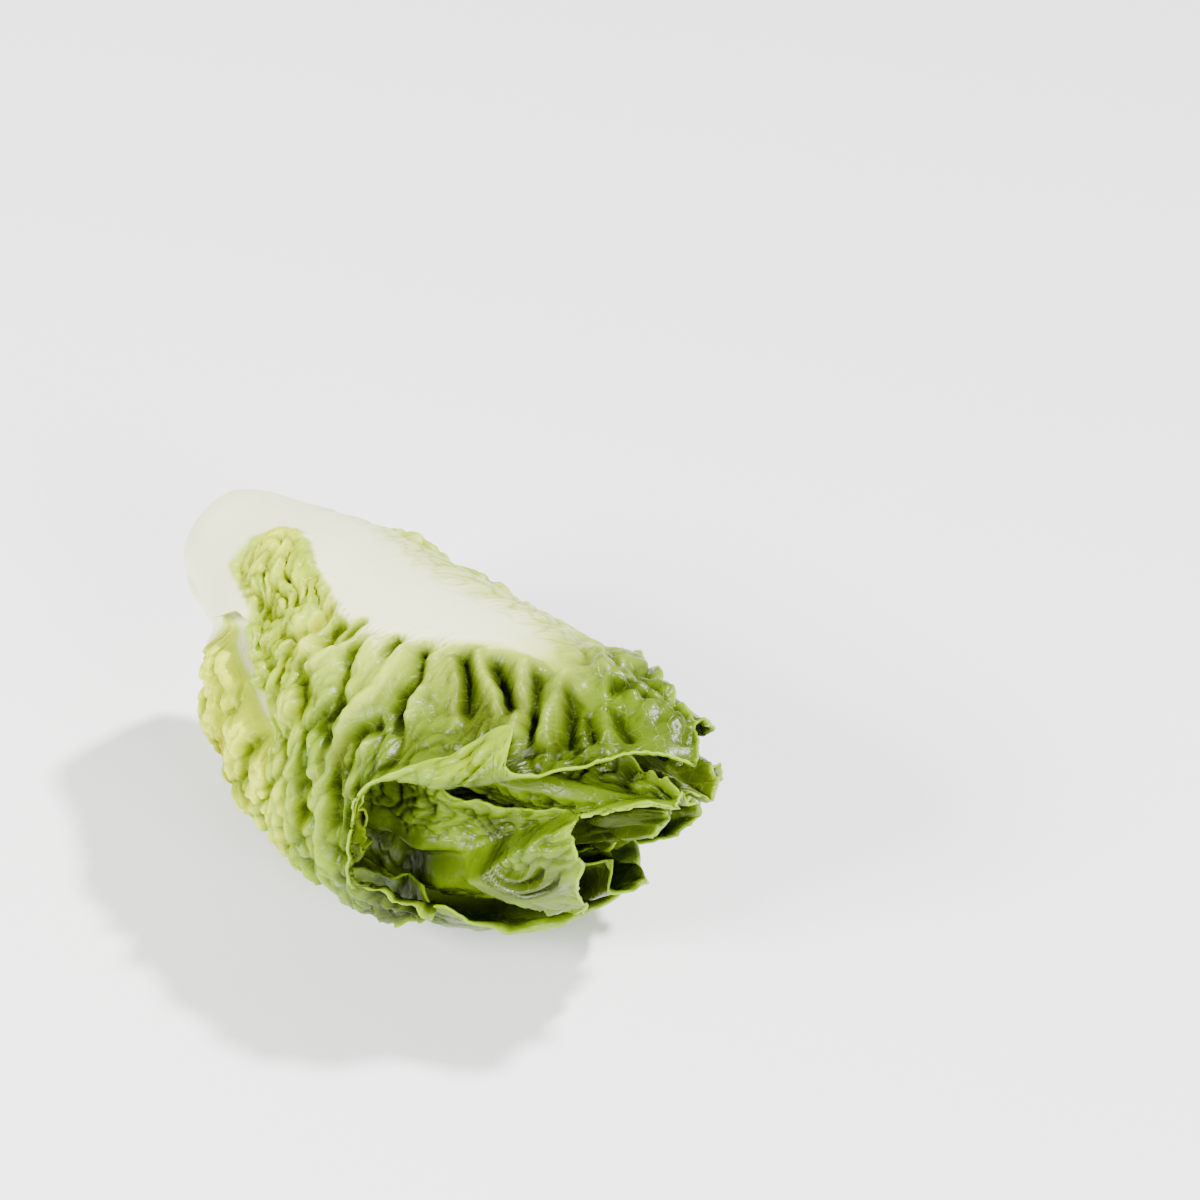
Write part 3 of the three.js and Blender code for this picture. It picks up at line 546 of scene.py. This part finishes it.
def fold_leaf(leaf, at):
    """Folds that fan off the midrib and fork further out: their depth and shade."""
    seed = leaf["seed"]
    drift = at.s - 0.05 * np.abs(at.turn) * smooth(0.5, 0.9, at.s)
    phase = leaf["folds"] * drift + np.where(at.turn > 0, 0, 0.37)
    phase = phase + 0.2 * wander(12 * at.s, 3 * at.turn, seed + 4)
    at.phase = phase + 0.6 * noise(at.x / 13, at.y / 13, seed + 20) * smooth(2, 14, at.out)
    valley = 1 - np.abs(np.sin(np.pi * at.phase)) ** 0.75
    fork = np.abs(np.sin(2 * np.pi * at.phase + 1.8 * noise(at.x / 13, at.y / 16, seed + 21)))
    side_valley = 1 - fork**0.8
    forked = smooth(7, 20, at.out)
    size = leaf["depth"] * (0.65 + 0.55 * noise(at.x / 15, at.y / 19, seed + 22))
    fold = size * smooth(0, 5.5, at.out) * at.opened * leaf.get("calm", 1)
    if at.top:
        fold = fold * (1 - 0.8 * at.traced)
        fold = fold * (1 - 0.8 * at.over_lobe)
    depth = fold * valley + 0.42 * fold * forked * side_valley
    shade = valley * smooth(0, 3, at.out) * np.clip(fold / 2, 0, 1) + 0.5 * side_valley * forked
    if at.top:
        crease_depth, crease_shade, at.pleat_light = creased(at.x, at.across)
        depth = depth + 1.5 * crease_depth
        shade = np.maximum(shade * (1 - 0.4 * at.traced), crease_shade)
    return depth, shade


def puff_skin(leaf, at, shade):
    """Skin puffed between the veins, and fine ribs beside the midrib: their height and shade."""
    seed, tight = leaf["seed"], leaf.get("tight", 9)
    at.loose = smooth(min(1, tight / 9), tight, at.out) * at.opened
    at.puff = pillow(at.x / 5 + 0.4 * at.phase, at.y / 6, seed + 30)
    small = pillow(at.x / 2.3, at.y / 2.6, seed + 31)
    ribbing = np.abs(np.sin(np.pi * (5 * at.phase + 0.5 * noise(at.x / 9, at.y / 9, seed + 35)))) ** 0.7
    ribbed = smooth(0, 3, at.out) * np.exp(-at.out / 26) * at.opened
    bumps = leaf["blister"] * at.loose * (0.95 * at.puff + 0.22 * small) + 0.65 * ribbed * ribbing
    return bumps, np.maximum(shade, 0.55 * ribbed * (1 - ribbing) ** 2)


def rumple_top(at, bumps, shade):
    """The top leaf's crinkled lobe, its flap's skin, its loosened edge and its blown end."""
    bumps = bumps * np.where(at.y < 0, 0.45, 1)
    long_way, short_way = 0.8 * at.x - 0.6 * at.across, 0.6 * at.x + 0.8 * at.across
    bent = 0.6 * noise(at.x / 7, at.across / 7, 73)
    crinkle = pillow(long_way / 5.5 + bent, short_way / 12, 71)
    small = pillow(long_way / 2.6 + bent, short_way / 5, 72)
    bumps = bumps + at.lobe * (3.0 * crinkle + 0.9 * small - LOBE_DROP)
    shade = np.maximum(shade, at.lobe * np.clip(1 - 1.3 * crinkle - 0.3 * small, 0, 1))
    bumps = bumps + 1.2 * pillow(at.x / 6, at.y / 5, 76) * smooth(3, 8, at.over) * smooth(0.5, 4, at.edge)
    at.rumple = pillow(at.x / 7 + 0.5 * noise(at.x / 9, at.y / 9, 77), at.across / 13, 78)
    bumps = bumps + 2.2 * at.loosened * at.rumple
    shade = np.maximum(shade, 0.8 * at.loosened * np.clip(1 - 1.5 * at.rumple, 0, 1))
    blown = smooth(0.66, 0.74, at.s) * at.loose
    blisters = pillow(at.x / 12 + 0.3 * noise(at.x / 6, at.y / 6, 75), at.across / 10, 74)
    bumps = bumps + blown * 2.8 * blisters
    shade = np.maximum(shade, 0.7 * blown * np.clip(1 - 1.6 * blisters, 0, 1))
    return bumps, shade


def ruffle_near_side(leaf, at, bumps, shade):
    """Broad ruffles on the near side of a young, pale leaf."""
    past_rib = smooth(0, 3, at.out)
    at.ruffles = pillow(at.x / 9 + 0.4 * noise(at.x / 7, at.y / 7, 83), at.y / 11, 81)
    small = pillow(at.x / 4, at.y / 5, 82)
    rise = leaf["ruffled"] * past_rib * at.near * at.opened
    bumps = bumps + rise * (0.6 * at.ruffles + 0.2 * small - 0.1)
    shade = np.maximum(shade, 0.9 * past_rib * np.clip(1 - 1.4 * at.ruffles - 0.2 * small, 0, 1))
    return bumps, shade


def ripple_ring(leaf, at, bumps, shade):
    """Curved ridges in a ring, where a leaf shows in the hollow."""
    place, angle, rise = leaf["ripples"]
    beside = at.across - math.radians(angle) * RING_RADIUS
    ring = np.hypot(at.x - place * HEAD_LENGTH, beside)
    at.band = smooth(5.5, 8, ring) * smooth(15, 12.5, ring) * smooth(-4, 3, beside)
    arcs = np.cos(2 * np.pi * ring / RIPPLE + 1.3 * noise(at.x / 7, at.y / 7, 91)) * at.band
    bumps = bumps * (1 - 0.8 * at.band) + rise * (0.5 + 0.5 * arcs) * at.band
    shade = np.maximum(shade * (1 - 0.7 * at.band), np.clip(-arcs, 0, 1) * 0.9)
    return bumps, shade


def settle(index, at, depth, bumps):
    """The sheet on the head, under the leaves before it, with slow waves and a ruffled margin."""
    leaf = LEAVES[index]
    seed = leaf["seed"]
    waves = 1.3 * noise(at.x / 21, at.y / 17, seed + 32) * at.loose
    ruffle = 1.9 * noise(at.x / 6.5, at.y / 7.5, seed + 33) + 0.7 * noise(at.x / 3, at.y / 3, seed + 34)
    ruffle = np.exp(-at.edge / 4.0) * ruffle * leaf["frill"] * at.opened * (1 - smooth(0, 4, at.over) * 0.7)
    base, hidden = layer_depth(index, at.held_s, at.angle)
    base = base + leaf.get("sink", 0) * smooth(0, 0.1, at.u)
    if "fills" in leaf:
        above = next(other for other in LEAVES if other["name"] == leaf["fills"])
        room, _ = cover(above, at.held_s, at.angle)
        base = base - 0.85 * room * smooth(0.55, 0.63, at.held_s)
    if index > DIP_BELOW:
        base = base + mound(DIP, at.held_s, at.angle)
    free = 1 - 0.85 * hidden
    outward = bumps + np.maximum(0, -waves) + np.maximum(0, -ruffle)
    for swell in leaf.get("swells", []):
        outward = outward + mound(swell, at.held_s, at.angle)
    inward = depth + 0.7 * leaf["blister"] * at.loose + np.maximum(0, waves) + np.maximum(0, ruffle)
    inward = inward * (1 - smooth(2, 7, at.over))
    inward = inward + hidden * np.maximum(0, 1.15 * leaf["blister"] * at.loose - bumps)
    return head_point(at.held_s, at.angle, base + inward - (outward + at.lift) * free)


def pale_share(leaf, at, shade):
    """How white a leaf is: its midrib and base, and the ridges beside them, less white where painted shade
    lies and whiter on pleats and puffs as painted highlights.
    """
    midrib = smooth(1.35, 0.75, at.rib)
    if not at.top:
        white = np.clip(1.15 - 1.6 * leaf["maturity"], 0, 0.9) * smooth(0.75, 0.4, at.s)
        return np.maximum(midrib * white, smooth(0.19, 0.12, at.s))
    fading = smooth(0.84, 0.58, at.s)
    # On the top leaf the ridges are darkened by painted shade where shade is, and lightened on the puffs as a
    # painted highlight
    far_side = (0.42 + 0.35 * np.exp(-at.out / 6) - 0.5 * shade + 0.2 * at.puff) * fading
    near_side = 1.3 * np.exp(-at.out / 10) * (1 - shade) ** 2 * smooth(0.8, 0.5, at.s)
    # A painted highlight along the pleats
    pleats = 0.8 * at.pleat_light * smooth(0.9, 0.6, at.s) * at.near * np.exp(-at.out / 26)
    ridges = np.maximum(np.where(at.y < 0, far_side, near_side), pleats)
    pale = np.maximum(midrib * fading, ridges * (1 - at.lobe))
    return np.maximum(pale, np.maximum(smooth(0.17, 0.13, at.s), at.sleeve))


def ripeness_and_painted_light(leaf, at):
    """How green a leaf is: more towards its tip and less where it rolls over, with painted shade deepening
    its valleys and troughs and painted highlights lightening its pleats and the crests of its puffs, rumples
    and ruffles.
    """
    ripe_and_painted_light = leaf["maturity"] + leaf.get("deepen", 0.95) * (at.s - 0.5) + 0.004 * at.out
    ripe_and_painted_light = ripe_and_painted_light + 0.1 * noise(at.x / 15, at.y / 15, leaf["seed"] + 50)
    if at.top:
        valley = smooth(0.36, 0.42, at.s) * at.near * smooth(1, 5, at.out) * smooth(60, 45, at.degrees)
        # Painted shade greens the valleys between the pleats, and a painted highlight lightens the pleats
        ripe_and_painted_light = ripe_and_painted_light + valley * (0.16 - 0.42 * at.pleat_light)
        ripe_and_painted_light = ripe_and_painted_light - 0.05 * at.lobe - 0.14 * smooth(0.5, 0.44, at.s) * smooth(0.33, 0.38, at.s) * at.near
        ripe_and_painted_light = ripe_and_painted_light - 0.14 * smooth(60, 85, at.degrees) * smooth(0.62, 0.56, at.s)
        ripe_and_painted_light = ripe_and_painted_light - 0.09 * smooth(0.72, 0.8, at.s) - 0.12 * smooth(3, 8, at.over)
        # Painted highlight on the rumples' crests, painted shade in their troughs
        ripe_and_painted_light = ripe_and_painted_light - 0.32 * at.loosened * (at.rumple - 0.5)
    if "ripples" in leaf:
        ripe_and_painted_light = ripe_and_painted_light + 0.25 * at.band + 0.2 * smooth(1.8, 0.8, at.rib) - 0.12 * smooth(0.76, 0.7, at.s)
    # Painted highlight on the puffs' crests, painted shade between them
    ripe_and_painted_light = ripe_and_painted_light - 0.2 * at.loose * (at.puff - 0.5)
    if "ruffled" in leaf:
        # Painted highlight on the ruffles' crests, painted shade in their troughs
        ripe_and_painted_light = ripe_and_painted_light + at.near * smooth(0, 3, at.out) * (0.24 - 0.3 * at.ruffles)
    return np.clip(ripe_and_painted_light - 0.3 * smooth(1.5, 6, at.over), 0, 1)


def shape_leaf(index, step, v):
    """A leaf's outer face in millimetres, its marks for the material, its flat sheet and its thickness."""
    leaf = LEAVES[index]
    at = lie(index, step, v)
    if at.top:
        mark_top(at)
    depth, shade = fold_leaf(leaf, at)
    bumps, shade = puff_skin(leaf, at, shade)
    if at.top:
        bumps, shade = rumple_top(at, bumps, shade)
    if "ruffled" in leaf:
        bumps, shade = ruffle_near_side(leaf, at, bumps, shade)
    if "ripples" in leaf:
        bumps, shade = ripple_ring(leaf, at, bumps, shade)
    points = settle(index, at, depth, bumps)

    # The crease mark is painted shade: the shade of the folds and creases and of the hollows between the
    # puffs, mixed in as darker greens
    shade = np.clip(shade, 0, 1)
    painted_crease_shade = np.clip(shade * 0.95 + 0.35 * (1 - at.puff) ** 2 * at.loose, 0, 1) * at.opened
    rim = np.exp(-at.edge / leaf.get("margin", 0.8)) * at.opened
    marks = np.stack([pale_share(leaf, at, shade), painted_crease_shade, ripeness_and_painted_light(leaf, at), rim], axis=-1)
    return points, marks, np.stack([at.x, at.across], axis=-1), spine_thickness(leaf, at.u, at.rib)


# Pieces
def mark_mesh(mesh, marks, flat):
    """Lay the marks, painted shade and highlights among them, on a mesh as a colour attribute, and its flat
    sheet as a UV map in decimetres.
    """
    growth_and_painted_light = mesh.color_attributes.new("growth_and_painted_light", "FLOAT_COLOR", "POINT")
    growth_and_painted_light.data.foreach_set("color", marks.astype(np.float32).ravel())
    layer = mesh.uv_layers.active or mesh.uv_layers.new(name="UVMap")
    picks = np.empty(len(mesh.loops), np.int32)
    mesh.loops.foreach_get("vertex_index", picks)
    layer.data.foreach_set("uv", (flat[picks] / 100).astype(np.float32).ravel())


def wall_leaf(piece, thick):
    """Give a leaf's sheet its wall, thick at the midrib and thin at the margin."""
    group = piece.vertex_groups.new(name="thick")
    share = mix(THIN_SHARE, 1, np.clip((thick - THIN_BLADE) / SPINE_OVER_BLADE, 0, 1))
    levels = np.round(np.where(thick > THIN_BLADE, share, THIN_SHARE) * WALL_LEVELS).astype(int)
    for level in np.unique(levels):
        group.add(np.nonzero(levels == level)[0].tolist(), level / WALL_LEVELS, "REPLACE")
    wall = piece.modifiers.new("wall", "SOLIDIFY")
    wall.thickness = WALL
    wall.offset = -1
    wall.vertex_group = "thick"
    wall.thickness_vertex_group = 0.0
    wall.use_rim = True
    bpy.ops.object.modifier_apply(modifier="wall")


def grow_leaf(index):
    """One leaf as a fine sheet with thickness, in place of its solid."""
    leaf = LEAVES[index]
    bpy.ops.object.select_all(action="DESELECT")
    bpy.ops.mesh.primitive_grid_add(x_subdivisions=leaf["cells"][0], y_subdivisions=leaf["cells"][1], size=2)
    piece = bpy.context.object
    piece.name = "fine_" + leaf["name"]
    mesh = piece.data
    corners = np.empty(len(mesh.vertices) * 3, np.float32)
    mesh.vertices.foreach_get("co", corners)
    corners = corners.reshape(-1, 3).astype(float)
    points, marks, flat, thick = shape_leaf(index, (corners[:, 0] + 1) / 2, -corners[:, 1])
    mesh.vertices.foreach_set("co", (points / 1000).astype(np.float32).ravel())
    mark_mesh(mesh, marks, flat)
    wall_leaf(piece, thick)
    bpy.ops.object.shade_smooth()
    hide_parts(leaf["name"])
    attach(piece, "root")
    return piece


def grow_core(name, span, rings, sides, depth_at, squeeze, marks_at):
    """A closed body round the head's axis, in place of its solid: a tube of rings with a cap at each end."""
    bpy.ops.object.select_all(action="DESELECT")
    mesh = bpy.data.meshes.new("fine_" + name)
    piece = bpy.data.objects.new("fine_" + name, mesh)
    bpy.context.collection.objects.link(piece)
    caps = [0.0, 0.0]
    s = mix(*span, np.append(np.repeat(np.arange(rings) / (rings - 1), sides), [0.0, 1.0]))
    angle = np.append(np.tile(2 * math.pi * np.arange(sides) / sides, rings), caps)
    out = np.append(np.ones(rings * sides), caps)
    faces = []
    for ring in range(rings - 1):
        for k in range(sides):
            a, b = ring * sides + k, ring * sides + (k + 1) % sides
            faces.append((a, b, b + sides, a + sides))
    last = (rings - 1) * sides
    for k in range(sides):
        faces.append((rings * sides, (k + 1) % sides, k))
        faces.append((rings * sides + 1, last + k, last + (k + 1) % sides))
    outer = head_point(s, angle, depth_at(s, angle))
    middle = np.stack([outer[:, 0], along(SWAY, s) - MIDDLE[1], along(HEIGHT, s) - MIDDLE[2]], axis=-1)
    points = middle + (outer - middle) * (out * squeeze(s))[:, None]
    mesh.from_pydata((points / 1000).tolist(), [], faces)
    mesh.update()
    mark_mesh(mesh, marks_at(s, angle), np.stack([s * HEAD_LENGTH, angle * CORE_RADIUS], axis=-1))
    piece.select_set(True)
    bpy.context.view_layer.objects.active = piece
    bpy.ops.object.shade_smooth()
    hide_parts(name)
    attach(piece, "root")
    return piece


def grow_bud():
    """The closed bud in the middle: pleated, and rounded off at both ends."""
    def pleated(s, angle):
        return 0.5 + 0.5 * np.sin(7 * angle + 9 * s + wander(8 * s, angle, 3))

    def depth_at(s, angle):
        puff = np.abs(noise(s * HEAD_LENGTH / 4, angle * CORE_RADIUS / 4, 61))
        return layer_depth(len(LEAVES), s, angle)[0] + 1.6 + 2.2 * pleated(s, angle) - 1.0 * puff

    def squeeze(s):
        close = np.maximum(0, 1 - (BUD_SPAN[1] - s) / 0.14)
        return np.sqrt(1 - 0.95 * close**2) * mix(0.3, 1, np.minimum(1, (s - BUD_SPAN[0]) / 0.08))

    def marks_at(s, angle):
        # The second mark is painted shade in the valleys of the pleats
        return np.stack([0.3 * (1 - s), 0.8 * pleated(s, angle), 0.1 + 0.45 * s, 0 * s], axis=-1)

    return grow_core("inner_bud", BUD_SPAN, 100, 120, depth_at, squeeze, marks_at)


def grow_stem():
    """The stem inside the leaves' bases, browned on its cut."""
    def depth_at(s, angle):
        return layer_depth(len(LEAVES), s, angle)[0] * 0.78

    def marks_at(s, angle):
        return np.stack([np.ones_like(s), 0 * s, 0 * s, smooth(0.012, 0.005, s)], axis=-1)

    return grow_core("stem", STEM_SPAN, 32, 80, depth_at, np.ones_like, marks_at)


# Materials
def node(tree, kind, x, y, **sockets):
    made = tree.nodes.new(kind)
    made.location = (x, y)
    for name, value in sockets.items():
        made.inputs[name.replace("_", " ")].default_value = value
    return made


def ramp(tree, x, y, share, stops):
    made = tree.nodes.new("ShaderNodeValToRGB")
    made.location = (x, y)
    elements = made.color_ramp.elements
    while len(elements) < len(stops):
        elements.new(0.5)
    for element, (place, colour) in zip(elements, stops):
        element.position = place
        element.color = (*colour, 1)
    tree.links.new(share, made.inputs[0])
    return made.outputs[0]


def blend(tree, x, y, share, first, second):
    made = tree.nodes.new("ShaderNodeMix")
    made.data_type = "RGBA"
    made.location = (x, y)
    links = tree.links
    links.new(share, made.inputs["Factor"])
    links.new(first, made.inputs["A"])
    if isinstance(second, tuple):
        made.inputs["B"].default_value = (*second, 1)
    else:
        links.new(second, made.inputs["B"])
    return made.outputs["Result"]


def maths(tree, x, y, operation, *values, clamp=False):
    made = tree.nodes.new("ShaderNodeMath")
    made.operation = operation
    made.use_clamp = clamp
    made.location = (x, y)
    for socket, value in zip(made.inputs, values):
        if isinstance(value, (int, float)):
            socket.default_value = value
        else:
            tree.links.new(value, socket)
    return made.outputs[0]


def speckle(tree, x, y, place, **sockets):
    made = node(tree, "ShaderNodeTexNoise", x, y, **sockets)
    tree.links.new(place, made.inputs["Vector"])
    return made


def relief(tree, x, y, height, shader, **sockets):
    made = node(tree, "ShaderNodeBump", x, y, **sockets)
    tree.links.new(height, made.inputs["Height"])
    tree.links.new(made.outputs[0], shader.inputs["Normal"])


def new_material(name, x, y):
    """A material with its tree, its shader, and the piece's marks read at x, y."""
    material = bpy.data.materials.new(name)
    material.use_nodes = True
    tree = material.node_tree
    marks = node(tree, "ShaderNodeAttribute", x, y)
    marks.attribute_name = "growth_and_painted_light"
    return material, tree, tree.nodes["Principled BSDF"], marks


def vein_net(tree, place):
    """A faint net of veins, on a place that wanders a little: 1 on a vein."""
    warp = speckle(tree, -1700, -500, place, Scale=24.0, Detail=3.0)
    bent = node(tree, "ShaderNodeVectorMath", -1500, -400)
    bent.operation = "MULTIPLY_ADD"
    bent.inputs[1].default_value = (0.02, 0.02, 0.02)
    tree.links.new(warp.outputs["Color"], bent.inputs[0])
    tree.links.new(place, bent.inputs[2])
    cells = node(tree, "ShaderNodeTexVoronoi", -1300, -400, Scale=34.0)
    cells.feature = "DISTANCE_TO_EDGE"
    tree.links.new(bent.outputs[0], cells.inputs["Vector"])
    between = maths(tree, -1250, -600, "MULTIPLY", cells.outputs["Distance"], 22.0, clamp=True)
    return maths(tree, -1100, -400, "SUBTRACT", 1.0, between)


def leaf_material(name, gloss, shine):
    """Romaine leaf: ivory rib, pale veins, green that deepens towards the tip, darkened by painted shade in
    the creases.
    """
    material, tree, shader, marks = new_material(name, -1500, 200)
    links = tree.links
    parts = node(tree, "ShaderNodeSeparateColor", -1300, 200)
    links.new(marks.outputs["Color"], parts.inputs["Color"])
    # The marks are the pale share, the painted crease shade, the green share with its painted light, and the
    # lime rim
    pale, painted_crease_shade, ripe_and_painted_light = parts.outputs
    rim = marks.outputs["Alpha"]
    place = node(tree, "ShaderNodeUVMap", -1900, -300).outputs[0]
    vein = vein_net(tree, place)
    mottle = speckle(tree, -1300, -750, place, Scale=16.0, Detail=6.0, Roughness=0.65).outputs["Fac"]
    grain = speckle(tree, -1300, -950, place, Scale=260.0, Detail=4.0, Roughness=0.6).outputs["Fac"]

    uneven = maths(tree, -1250, -50, "MULTIPLY_ADD", mottle, 0.22, -0.11)
    stirred = maths(tree, -1100, 0, "ADD", ripe_and_painted_light, uneven, clamp=True)
    lit = ramp(tree, -900, 300, stirred, LIT_GREENS)
    # These darker greens are painted shade, mixed in by the crease mark
    deep = ramp(tree, -900, 50, stirred, PAINTED_SHADE_GREENS)
    blade = blend(tree, -600, 200, painted_crease_shade, lit, deep)
    veined = blend(tree, -400, 200, maths(tree, -800, -300, "MULTIPLY", vein, 0.1), blade, VEIN_GREEN)
    limed = blend(tree, -200, 200, maths(tree, -400, -100, "MULTIPLY", rim, 0.75), veined, RIM_LIME)
    paling = maths(tree, -300, 450, "MULTIPLY", pale, 1.5, clamp=True)
    paled = blend(tree, -100, 350, paling, limed, PALE_LIME)
    whitening = maths(tree, -300, 600, "MULTIPLY_ADD", pale, 2.0, -1.0, clamp=True)
    links.new(blend(tree, 100, 350, whitening, paled, IVORY), shader.inputs["Base Color"])

    rough = maths(tree, -200, -200, "MULTIPLY_ADD", mottle, 0.25, gloss)
    links.new(maths(tree, 0, -200, "MULTIPLY_ADD", pale, 0.12, rough), shader.inputs["Roughness"])
    grained = maths(tree, -800, -600, "MULTIPLY", grain, 0.25)
    height = maths(tree, -600, -500, "MULTIPLY_ADD", vein, -0.22, grained)
    height = maths(tree, -400, -500, "MULTIPLY_ADD", mottle, 0.9, height)
    relief(tree, -200, -500, height, shader, Strength=0.35, Distance=0.0006)
    # The specular level also drops along the painted crease shade
    dull = maths(tree, -400, -300, "MULTIPLY_ADD", painted_crease_shade, -shine, shine)
    links.new(dull, shader.inputs["Specular IOR Level"])
    shader.inputs["IOR"].default_value = 1.4
    shader.inputs["Subsurface Weight"].default_value = 0.12
    shader.inputs["Subsurface Radius"].default_value = (0.8, 1.0, 0.25)
    shader.inputs["Subsurface Scale"].default_value = 0.002
    return material


def stem_material():
    """The cut stem: ivory flesh, a little browned on the cut."""
    material, tree, shader, marks = new_material("cut_stem", -1100, 200)
    place = node(tree, "ShaderNodeTexCoord", -1100, -100).outputs["Object"]
    patches = speckle(tree, -900, -100, place, Scale=240.0, Detail=5.0).outputs["Fac"]
    flesh = ramp(tree, -700, 0, patches, STEM_FLESH)
    browned = ramp(tree, -700, -300, patches, STEM_BROWN)
    share = maths(tree, -700, 300, "MULTIPLY", marks.outputs["Alpha"], 0.6)
    tree.links.new(blend(tree, -400, 100, share, flesh, browned), shader.inputs["Base Color"])
    relief(tree, -300, -300, patches, shader, Strength=0.3, Distance=0.0004)
    shader.inputs["Roughness"].default_value = 0.5
    shader.inputs["Specular IOR Level"].default_value = 0.3
    return material


def dress(piece, material):
    piece.data.materials.clear()
    piece.data.materials.append(material)


waxy = leaf_material("waxy_green_leaf", 0.14, 0.36)
glossy = leaf_material("glossy_inner_leaf", 0.08, 0.42)
for index, leaf in enumerate(LEAVES):
    dress(grow_leaf(index), glossy if leaf["name"] in GLOSSY_LEAVES else waxy)
dress(grow_bud(), glossy)
dress(grow_stem(), stem_material())

# Floor, light and camera
bpy.ops.mesh.primitive_plane_add(size=6, location=(0, 0, 0))
floor = bpy.context.object
floor.name = "floor"
paint = bpy.data.materials.new("pale_floor")
paint.use_nodes = True
paint.node_tree.nodes["Principled BSDF"].inputs["Base Color"].default_value = (0.93, 0.93, 0.93, 1)
paint.node_tree.nodes["Principled BSDF"].inputs["Roughness"].default_value = 0.7
floor.data.materials.append(paint)

world = bpy.data.worlds.new("studio")
world.use_nodes = True
world.node_tree.nodes["Background"].inputs[0].default_value = (1, 1, 1, 1)
world.node_tree.nodes["Background"].inputs[1].default_value = 0.42
bpy.context.scene.world = world


def lamp(name, kind, place, energy):
    light = bpy.data.lights.new(name, kind)
    light.energy = energy
    made = bpy.data.objects.new(name, light)
    bpy.context.collection.objects.link(made)
    made.location = place
    made.rotation_euler = (Vector(LIT_POINT) - Vector(place)).to_track_quat("-Z", "Y").to_euler()
    return light


def panel(name, place, energy, width, height):
    light = lamp(name, "AREA", place, energy)
    light.shape = "RECTANGLE"
    light.size, light.size_y = width, height


lamp("key", "SUN", (0.25, 0.55, 0.9), 8.0).angle = math.radians(5)
panel("front", (-0.3, -1.0, 0.75), 36, 0.6, 0.4)
panel("side", (1.0, -0.35, 0.5), 16, 0.35, 0.35)

around, above = math.radians(VIEW_AROUND), math.radians(VIEW_ABOVE)
ahead = Vector((-math.sin(around) * math.cos(above), math.cos(around) * math.cos(above), -math.sin(above)))
right = Vector((math.cos(around), math.sin(around), 0))
up = right.cross(ahead)
camera = bpy.data.cameras.new("camera")
camera.lens = LENS
camera.sensor_width = 36
eye = bpy.data.objects.new("camera", camera)
bpy.context.collection.objects.link(eye)
eye.location = Vector(VIEW_POINT) + right * VIEW_RIGHT + up * VIEW_UP - ahead * VIEW_DISTANCE
eye.rotation_euler = ahead.to_track_quat("-Z", "Y").to_euler()
bpy.context.scene.camera = eye
